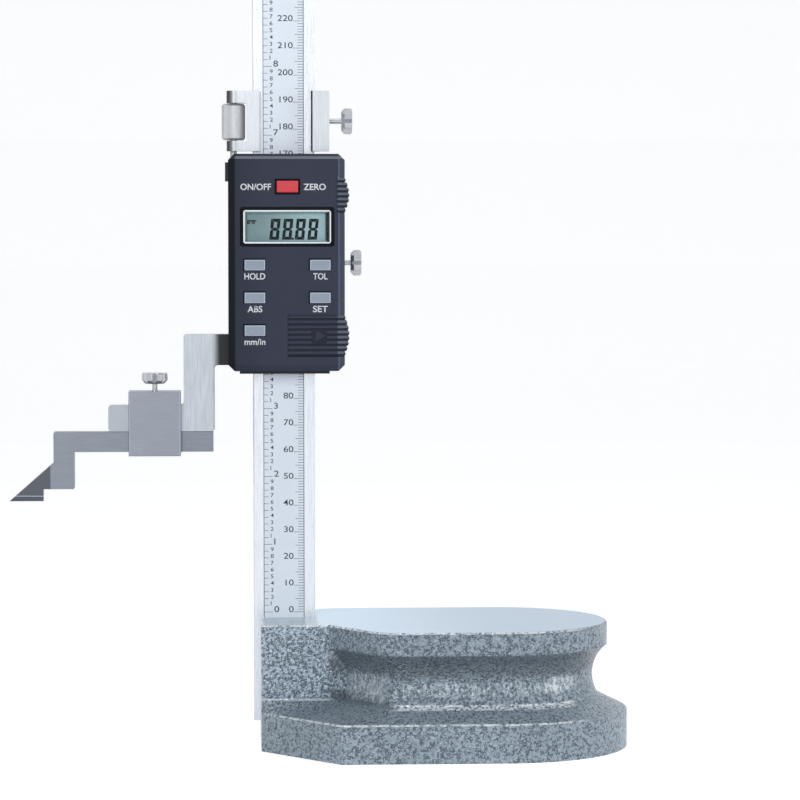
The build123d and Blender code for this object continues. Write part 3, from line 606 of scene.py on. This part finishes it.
def dress(material, *nodes):
    """Give the model's own pieces a finish."""
    for name in nodes:
        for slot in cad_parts[name].material_slots:
            slot.material = material


def piece(name, mesh, body, material):
    """Put a finished bmesh into the scene, its faces turned outwards, as a piece that rides on a body."""
    bmesh.ops.recalc_face_normals(mesh, faces=mesh.faces)
    data = bpy.data.meshes.new(name)
    mesh.to_mesh(data)
    mesh.free()
    data.materials.append(material)
    made = bpy.data.objects.new(name, data)
    bpy.context.scene.collection.objects.link(made)
    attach(made, body)


def add_block(mesh, low, high):
    """Box between two corners."""
    points = [mesh.verts.new(corner) for corner in product(*zip(low, high))]
    for face in ((0, 1, 3, 2), (4, 6, 7, 5), (0, 4, 5, 1), (2, 3, 7, 6), (0, 2, 6, 4), (1, 5, 7, 3)):
        mesh.faces.new([points[index] for index in face])


def add_prism(mesh, outline, front, rear):
    """Upright prism over an outline of X, Z points, between two depths."""
    near = [mesh.verts.new((x, front, z)) for x, z in outline]
    far = [mesh.verts.new((x, rear, z)) for x, z in outline]
    mesh.faces.new(near)
    mesh.faces.new(far[::-1])
    for index in range(len(outline)):
        after = (index + 1) % len(outline)
        mesh.faces.new((near[index], far[index], far[after], near[after]))


def glyph_mesh(text, weight):
    """The words as a flat mesh of size 1, in the program's own font."""
    curve = bpy.data.curves.new("glyphs", "FONT")
    curve.body = text
    curve.resolution_u = 5
    curve.offset = weight
    helper = bpy.data.objects.new("glyphs", curve)
    bpy.context.scene.collection.objects.link(helper)
    graph = bpy.context.evaluated_depsgraph_get()
    data = bpy.data.meshes.new_from_object(helper.evaluated_get(graph))
    bpy.data.objects.remove(helper)
    bpy.data.curves.remove(curve)
    return data


def add_words(mesh, text, left, right, base, height, front, weight, widen=1.0):
    """Letters on the reader's side of depth front, fitted to a width and to a height over the base line.

    Where left or right is None the letters keep their own width times widen, from the side that is given.
    """
    data = glyph_mesh(text, weight)
    tall = glyph_mesh("0", weight)
    full = max(v.co.y for v in tall.vertices) - min(v.co.y for v in tall.vertices)
    low = min(v.co.x for v in data.vertices)
    width = max(v.co.x for v in data.vertices) - low
    up = height / full
    across = (right - left) / width if None not in (left, right) else up * widen
    start = left if left is not None else right - width * across
    letters = bmesh.new()
    letters.from_mesh(data)
    turned = bmesh.ops.extrude_face_region(letters, geom=letters.faces[:])
    for element in turned["geom"]:
        if isinstance(element, bmesh.types.BMVert):
            element.co.z = 1.0
    for vertex in letters.verts:
        x, y, z = vertex.co
        vertex.co = (start + (x - low) * across, front - INK * z, base + y * up)
    final = bpy.data.meshes.new("letters")
    letters.to_mesh(final)
    letters.free()
    mesh.from_mesh(final)
    for block in (data, tall, final):
        bpy.data.meshes.remove(block)


class DressBase(bpy.types.Operator):
    """Enamel the base casting and leave its top, end and underside ground"""

    bl_idname = "gauge.dress_base"
    bl_label = "Dress the base"

    def execute(self, context):
        dress(hammertone(context.scene.gauge_paint), "base_casting")
        return {"FINISHED"}


class DressBeam(bpy.types.Operator):
    """Grind the beam and finish its scale plate and screws"""

    bl_idname = "gauge.dress_beam"
    bl_label = "Dress the beam"

    def execute(self, context):
        paint = context.scene.gauge_paint
        dress(ground_steel("beam steel", paint.beam, 0.26), "beam")
        dress(printed_plate(paint), "scale_plate")
        low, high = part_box("beam_screws")
        head_radius = (high.x - low.x) / 2
        half_slot = 0.45
        middles = [height / MM for height in (low.z + head_radius, high.z - head_radius)]
        slots = [("Z", middle - half_slot, middle + half_slot, 0.06, 0.03) for middle in middles]
        dress(ground_steel("screw steel", tint(paint.nickel, 0.75), 0.24, marks=slots), "beam_screws")
        return {"FINISHED"}


class PrintScale(bpy.types.Operator):
    """Print the millimetre and inch graduations and their numerals on the plate"""

    bl_idname = "gauge.print_scale"
    bl_label = "Print the scale"

    def execute(self, context):
        scale = context.scene.scale_print
        low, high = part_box("scale_plate")
        lines = bmesh.new()
        numerals = bmesh.new()
        self.print_borders(scale, low, high, lines)
        self.print_millimetres(scale, low, high, lines, numerals)
        self.print_inches(scale, low, high, lines, numerals)
        ink = printed("scale ink", context.scene.gauge_paint.ink)
        piece("scale_graduations", lines, "base", ink)
        piece("scale_numerals", numerals, "base", ink)
        return {"FINISHED"}

    def print_borders(self, scale, low, high, lines):
        """Line along each upright edge of the plate."""
        bare_end = 0.2 * MM
        for edge in (low.x, high.x - scale.border):
            start = (edge, low.y - INK, low.z + bare_end)
            end = (edge + scale.border, low.y + INK / 2, high.z - bare_end)
            add_block(lines, start, end)

    def print_line(self, scale, lines, start, end, height, front):
        """Graduation at a height, let into the plate by half the print's thickness."""
        half = scale.line / 2
        add_block(lines, (start, front - INK, height - half), (end, front + INK / 2, height + half))

    def print_millimetres(self, scale, low, high, lines, numerals):
        """Graduations along the right border, with a numeral at every ten."""
        right = high.x - scale.border
        numeral_end = right - scale.long - 0.1 * MM
        top = high.z - PLATE_MARGIN
        style = (scale.numeral, low.y, scale.weight, scale.widen)
        for number in count():
            height = scale.zero + number * MM
            if height > top:
                break
            ten = number % 10 == 0
            length = scale.long if ten else scale.middle if number % 5 == 0 else scale.short
            self.print_line(scale, lines, right - length, right, height, low.y)
            if ten and height + scale.numeral < top:
                add_words(numerals, str(number), None, numeral_end, height - NUMERAL_DROP, *style)

    def print_inches(self, scale, low, high, lines, numerals):
        """Graduations along the left border at every tenth of an inch, each with its numeral."""
        left = low.x + scale.border
        tenth_column, inch_column, wide_column = (left + reach for reach in mm(2.35, 3.7, 2.5))
        top = high.z - PLATE_MARGIN
        for number in count():
            height = scale.zero + number * 2.54 * MM
            if height > top:
                break
            inches, tenths = divmod(number, 10)
            text = str(tenths or inches)
            base = height - NUMERAL_DROP
            if tenths:
                length, start, tall = scale.tenth_line, tenth_column, scale.tenth_numeral
            elif inches < 10:
                length, start, tall = scale.inch_line, inch_column, scale.inch_numeral
            else:
                # Two figures are smaller and stand above the end of their line, clear of their neighbours
                length, start, tall = scale.inch_line, wide_column, 0.78 * scale.inch_numeral
                base = height + 0.2 * MM
            self.print_line(scale, lines, left, left + length, height, low.y)
            if height + tall < top:
                add_words(numerals, text, start, None, base, tall, low.y, scale.weight, scale.widen)


class DressSlider(bpy.types.Operator):
    """Grind the slider frame, its back plate, the carriage and their small steel parts"""

    bl_idname = "gauge.dress_slider"
    bl_label = "Dress the slider"

    def execute(self, context):
        paint = context.scene.gauge_paint
        # Painted shade on the arm beside the housing
        shade_beside_housing = ("X", -86.5, -82.9, 0.06)
        stub = ("X", -115.0, -117.5, 0.78)
        arm_steel = ground_steel("arm steel", paint.steel, 0.3, grain=1.7, marks=[stub, shade_beside_housing])
        dress(arm_steel, "slider_frame")
        # Painted shade on the carriage's left side and rounded left end, and a painted shadow line at the
        # inner edge of its right lip
        shaded_side = ("X", -75.6, -78.8, 0.45)
        shaded_end = ("X", -78.0, -80.3, 0.05)
        shadow_line = ("X", -49.3, -48.55, 0.02, 0.05)
        marks = [shaded_side, shaded_end, shadow_line]
        carriage_steel = ground_steel("carriage steel", tint(paint.beam, 0.74), 0.34, marks=marks)
        dress(carriage_steel, "carriage")
        dress(ground_steel("back plate steel", tint(paint.steel, 0.9), 0.36), "slider_back_plate")
        dress(ground_steel("gib brass", (0.62, 0.46, 0.2), 0.3), "slider_gib", "carriage_gib")
        dress(turned_metal("stud steel", tint(paint.nickel, 0.7), 0.26), "feed_screw")
        return {"FINISHED"}


class AddHousingScrews(bpy.types.Operator):
    """Set the four slotted heads that hold the back plate and the housing on the slider"""

    bl_idname = "gauge.add_housing_screws"
    bl_label = "Add the housing screws"

    def execute(self, context):
        low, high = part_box("slider_back_plate")
        radius, half_slot, slot_floor, head_height = mm(1.9, 0.3, 0.6, 1.2)
        left_inset, right_inset = mm(2.45, 2.1)
        rises = mm(3.9, 67.5)
        round_steps, arc_steps = 40, 16
        around = [2 * pi / round_steps * step for step in range(round_steps)]
        # Above the slot's floor the head is two halves, each cut off by the slot
        lean = asin(half_slot / radius)
        arc = [lean + (pi - 2 * lean) / arc_steps * step for step in range(arc_steps + 1)]
        heads = bmesh.new()
        for x, rise in product((low.x + left_inset, high.x - right_inset), rises):
            z = low.z + rise
            disc = [(x + radius * cos(turn), z + radius * sin(turn)) for turn in around]
            add_prism(heads, disc, high.y, high.y + slot_floor)
            for side in (1, -1):
                lip = [(x + radius * cos(turn), z + side * radius * sin(turn)) for turn in arc]
                add_prism(heads, lip, high.y + slot_floor, high.y + head_height)
        steel = turned_metal("small screw steel", tint(context.scene.gauge_paint.nickel, 0.7), 0.26)
        piece("housing_screw_heads", heads, "slider", steel)
        return {"FINISHED"}


class DressKnobs(bpy.types.Operator):
    """Plate the thumb screws and the feed wheel"""

    bl_idname = "gauge.dress_knobs"
    bl_label = "Dress the knobs"

    def execute(self, context):
        paint = context.scene.gauge_paint
        dress(turned_metal("nickel", paint.nickel), "slider_lock_screw", "carriage_lock_screw", "clamp_screw")
        low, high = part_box("feed_nut")
        teeth = 84
        dress(knurled_metal("feed wheel nickel", paint.nickel, (low + high) / 2, teeth), "feed_nut")
        return {"FINISHED"}


class DressScriber(bpy.types.Operator):
    """Grind the scriber, its clamp and its carbide edge"""

    bl_idname = "gauge.dress_scriber"
    bl_label = "Dress the scriber"

    def execute(self, context):
        paint = context.scene.gauge_paint
        # The wedge at the tip is darker, and a painted highlight line runs above the carbide edge
        dark_wedge = ("X", -146.0, -146.2, 0.38)
        highlight_line = ("Z", 92.4, 92.7, 1.5, 0.05)
        scriber_steel = ground_steel(
            "scriber steel", tint(paint.scriber, 0.86), 0.3, along="X", marks=[dark_wedge, highlight_line]
        )
        dress(scriber_steel, "scriber")
        low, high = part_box("scriber_clamp")
        left, right = low.x / MM, high.x / MM
        # Painted highlight lines along the clamp's left and right edges
        edges = [("X", start, start + 0.35, 1.35, 0.04) for start in (left + 0.15, right - 0.5)]
        dress(ground_steel("clamp steel", paint.scriber, 0.32, along="X", marks=edges), "scriber_clamp")
        dress(ground_steel("pad steel", tint(paint.scriber, 0.8), 0.32, along="X"), "clamp_pad")
        dress(ground_steel("carbide", paint.carbide, 0.3, along="X"), "scriber_tip")
        return {"FINISHED"}


class DressHousing(bpy.types.Operator):
    """Mould the housing, its covers and keys"""

    bl_idname = "gauge.dress_housing"
    bl_label = "Dress the housing"

    def execute(self, context):
        paint = context.scene.gauge_paint
        dress(housing_plastic(paint), "housing")
        dress(cover_plastic(paint), "battery_cover", "port_cover")
        grey = moulded("grey key plastic", paint.grey_key, 0.45, 0.00001, rim_highlight=1.9)
        dress(grey, *FUNCTION_KEYS)
        dress(moulded("red key plastic", paint.red_key, 0.35, 0.00001, 0.3, rim_highlight=1.3), "power_button")
        dress(moulded("pad rubber", (0.02, 0.02, 0.022), 0.7), "keypad_mat", "power_mat", "contact_strips")
        dress(circuit("coated board"), "circuit_board", "reading_head")
        dress(turned_metal("battery can", paint.nickel, 0.3), "battery")
        dress(turned_metal("contact brass", (0.70, 0.52, 0.2), 0.25), "battery_contact")
        return {"FINISHED"}


class OutlineKeys(bpy.types.Operator):
    """Draw the black strips of painted shadow that show above and to the left of each grey key"""

    bl_idname = "gauge.outline_keys"
    bl_label = "Outline the keys"

    def execute(self, context):
        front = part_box("housing")[0].y
        # The key's hidden flange is wider than its cap, and the cap has a clear gap round it
        cap_inset, clear = mm(0.7, 0.2)
        width, thin = mm(0.32, 0.01)
        gap_shadows = bmesh.new()
        for node in FUNCTION_KEYS:
            low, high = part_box(node)
            left = low.x + cap_inset - clear
            right = high.x - cap_inset + clear
            bottom = low.z + cap_inset - clear
            top = high.z - cap_inset + clear
            # Painted shadow: black strips beside the cap's left and top edges, wider than the real clearance
            add_block(gap_shadows, (left - width, front - thin, bottom), (left, front + thin, top + width))
            add_block(gap_shadows, (left, front - thin, top), (right, front + thin, top + width))
        black = printed("key gap shadow black", (0.003, 0.004, 0.006), 0.6, gloss=0.05)
        piece("key_gap_shadows", gap_shadows, "slider", black)
        return {"FINISHED"}


class LetterHousing(bpy.types.Operator):
    """Print the keys' words on the front of the housing"""

    bl_idname = "gauge.letter_housing"
    bl_label = "Letter the housing"

    def execute(self, context):
        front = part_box("housing")[0].y
        tall = context.scene.display_print.word_height
        weight = context.scene.display_print.word_weight
        drop = 5.25 * MM
        words = bmesh.new()
        for node, (word, width) in FUNCTION_KEYS.items():
            low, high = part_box(node)
            middle = (low.x + high.x) / 2
            base = (low.z + high.z) / 2 - drop
            half = width / 2 * MM
            add_words(words, word, middle - half, middle + half, base, tall, front, weight)
        # The red key's two words stand beside it, each between two distances from its middle
        low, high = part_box("power_button")
        middle = (low.x + high.x) / 2
        base = (low.z + high.z) / 2 - tall / 2
        for word, start, end in (("ON/OFF", -17.3, -6.0), ("ZERO", 5.9, 14.1)):
            add_words(words, word, middle + start * MM, middle + end * MM, base, tall, front, weight)
        white = printed("white lettering", context.scene.gauge_paint.lettering)
        piece("housing_lettering", words, "slider", white)
        return {"FINISHED"}


class ShowReading(bpy.types.Operator):
    """Finish the display and show its slanted digits"""

    bl_idname = "gauge.show_reading"
    bl_label = "Show the reading"

    def execute(self, context):
        paint = context.scene.gauge_paint
        sizes = context.scene.display_print
        dress(display_ground(paint), "lcd_glass")
        dress(clear_sheet(), "display_window")
        dress(window_frame(paint), "display_frame")
        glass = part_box("lcd_glass")[0].y
        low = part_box("display_window")[0]
        base = low.z + 0.40 * MM
        first = low.x + 8.55 * MM
        self.add_digits(sizes, paint, first, base, glass)
        sign_margin, sign_width, sign_height, sign_drop = mm(0.45, 3.5, 2.2, 1.75)
        sign_weight = 0.08
        sign = bmesh.new()
        start = low.x + sign_margin
        sign_base = base + sizes.digit_height - sign_drop
        add_words(sign, "mm", start, start + sign_width, sign_base, sign_height, glass, sign_weight)
        faint = printed("display sign", tint(paint.display, 0.2), 0.4)
        piece("display_sign", sign, "slider", faint)
        return {"FINISHED"}

    def add_digits(self, sizes, paint, first, base, glass):
        """Four slanted digits with all their segments, and the dot before the last two."""
        front = glass - INK
        rear = glass + INK / 2
        lean = tan(sizes.slant)
        half = sizes.stroke / 2
        gap = 0.03 * MM
        digits = bmesh.new()

        def stroke(start, end, outward=0, corners=()):
            """Segment between two joints: pointed ends, mitred where the digit turns a corner."""
            ends = (Vector(start), Vector(end))
            along = (ends[1] - ends[0]).normalized()
            side = Vector((-along.y, along.x))
            tips = [ends[0] + along * gap, ends[1] - along * gap]
            for index in corners:
                tips[index] += side * outward * half + along * half * (2 * index - 1)
            shoulders = (ends[0] + along * (half + gap), ends[1] - along * (half + gap))
            outline = [
                tips[0],
                shoulders[0] + side * half,
                shoulders[1] + side * half,
                tips[1],
                shoulders[1] - side * half,
                shoulders[0] - side * half,
            ]
            add_prism(digits, [(p.x + (p.y - base) * lean, p.y) for p in outline], front, rear)

        for number in range(4):
            left = first + number * sizes.digit_pitch + half
            right = left + sizes.digit_width - 2 * half
            bottom = base + half
            top = base + sizes.digit_height - half
            middle = (bottom + top) / 2
            stroke((left, bottom), (right, bottom), -1, (0, 1))
            stroke((left, middle), (right, middle))
            stroke((left, top), (right, top), 1, (0, 1))
            for x, outward in ((left, 1), (right, -1)):
                stroke((x, bottom), (x, middle), outward, (0,))
                stroke((x, middle), (x, top), outward, (1,))
        dot_reach, dot_size = mm(1.05, 0.75)
        dot = first + 2 * sizes.digit_pitch - dot_reach
        add_block(digits, (dot, front, base), (dot + dot_size, rear, base + dot_size))
        ink = printed("display segments", paint.segment, 0.35, gloss=0.05)
        piece("display_digits", digits, "slider", ink)


class SetStage(bpy.types.Operator):
    """Lay the floor, hang the lamps and set the camera where the photograph was taken"""

    bl_idname = "gauge.set_stage"
    bl_label = "Set the stage"

    def execute(self, context):
        scene = context.scene
        light = scene.studio_light
        self.lay_floor()
        self.hang_lamp("key lamp", (-0.5, -1.3, 0.55), 0.5, light.key)
        self.hang_lamp("fill lamp", (1.25, -0.45, 0.45), 0.5, light.fill)
        self.hang_lamp("top lamp", (0.1, -0.1, 1.3), 0.6, light.top)
        self.light_room(scene, light.room)
        self.set_camera(scene)
        scene.view_settings.view_transform = "Standard"
        return {"FINISHED"}

    def lay_floor(self):
        """Wide pale sheet that curves up far behind the gauge."""
        mesh = bmesh.new()
        half, wall_height = 3.0, 3.0
        bend_start, bend_radius = 1.2, 0.9
        sink = 0.02 * MM
        turns = [pi / 16 * step for step in range(1, 9)]
        profile = [(-half, 0.0), (bend_start, 0.0)]
        profile += [(bend_start + bend_radius * sin(turn), bend_radius * (1 - cos(turn))) for turn in turns]
        profile.append((bend_start + bend_radius, wall_height))
        rows = [[mesh.verts.new((x, y, z - sink)) for x in (-half, half)] for y, z in profile]
        for low, high in zip(rows, rows[1:]):
            mesh.faces.new((low[0], low[1], high[1], high[0]))
        data = bpy.data.meshes.new("studio_floor")
        mesh.to_mesh(data)
        mesh.free()
        floor = bpy.data.objects.new("studio_floor", data)
        bpy.context.scene.collection.objects.link(floor)
        finish = Finish("studio paper")
        glow = finish.blend((0, 0, 0), (0.66, 0.665, 0.67), finish.seen())
        paper = finish.noise(finish.place(), 120)
        material = finish.surface(
            base_color=finish.blend((0.86, 0.87, 0.89), (0.89, 0.90, 0.92), paper),
            roughness=0.7,
            emission_color=glow,
            emission_strength=1.0,
        )
        data.materials.append(material)

    def hang_lamp(self, name, place, size, power):
        data = bpy.data.lights.new(name, "AREA")
        data.shape = "SQUARE"
        data.size = size
        data.energy = power
        lamp = bpy.data.objects.new(name, data)
        lamp.location = place
        gauge_middle = Vector((-0.04, 0.0, 0.16))
        aim = gauge_middle - Vector(place)
        lamp.rotation_euler = aim.to_track_quat("-Z", "Y").to_euler()
        bpy.context.scene.collection.objects.link(lamp)

    def light_room(self, scene, strength):
        """White where the camera, gloss and glass look, and a plainer level where it lights the object."""
        room = Finish("studio room", "World")
        inputs = {"Value": room.seen(), "To Min": strength, "To Max": 1.0}
        level = room.node("ShaderNodeMapRange", inputs=inputs)
        light = room.node("ShaderNodeBackground", inputs={"Color": (0.96, 0.98, 1.0), "Strength": level})
        room.feed(room.end.inputs["Surface"], light)
        scene.world = room.owner

    def set_camera(self, scene):
        """Place and lens found by fitting the scale, the housing and the base in the photograph."""
        data = bpy.data.cameras.new("camera")
        data.sensor_width = 36.0
        focal_pixels, photo_pixels = 3357.5, 800
        data.lens = focal_pixels / photo_pixels * data.sensor_width
        data.clip_end = 20.0
        camera = bpy.data.objects.new("camera", data)
        camera.location = mm(-81.7, -1241.45, 198.2)
        down, right = 3.21, 3.01
        camera.rotation_euler = (radians(90 - down), 0, radians(-right))
        bpy.context.scene.collection.objects.link(camera)
        scene.camera = camera


class GaugePanel(bpy.types.Panel):
    """Sidebar panel that lists the gauge's pieces and finishes"""

    bl_idname = "VIEW3D_PT_height_gauge"
    bl_label = "Height gauge"
    bl_space_type = "VIEW_3D"
    bl_region_type = "UI"
    bl_category = "Height gauge"

    def draw(self, context):
        for operator in OPERATORS:
            self.layout.operator(operator.bl_idname)
        for name in GROUPS:
            group = getattr(context.scene, name)
            box = self.layout.box()
            for setting in group.bl_rna.properties:
                if setting.identifier not in ("rna_type", "name"):
                    box.prop(group, setting.identifier)


GROUPS = {
    "gauge_paint": GaugePaint,
    "scale_print": ScalePrint,
    "display_print": DisplayPrint,
    "studio_light": StudioLight,
}
OPERATORS = (
    DressBase,
    DressBeam,
    PrintScale,
    DressSlider,
    AddHousingScrews,
    DressKnobs,
    DressScriber,
    DressHousing,
    OutlineKeys,
    LetterHousing,
    ShowReading,
    SetStage,
)


def register():
    for name, group in GROUPS.items():
        bpy.utils.register_class(group)
        setattr(bpy.types.Scene, name, PointerProperty(type=group))
    for operator in OPERATORS:
        bpy.utils.register_class(operator)
    bpy.utils.register_class(GaugePanel)


def unregister():
    bpy.utils.unregister_class(GaugePanel)
    for operator in reversed(OPERATORS):
        bpy.utils.unregister_class(operator)
    for name, group in GROUPS.items():
        delattr(bpy.types.Scene, name)
        bpy.utils.unregister_class(group)


def main():
    register()
    for operator in OPERATORS:
        family, action = operator.bl_idname.split(".")
        getattr(getattr(bpy.ops, family), action)()


if __name__ == "__main__":
    main()
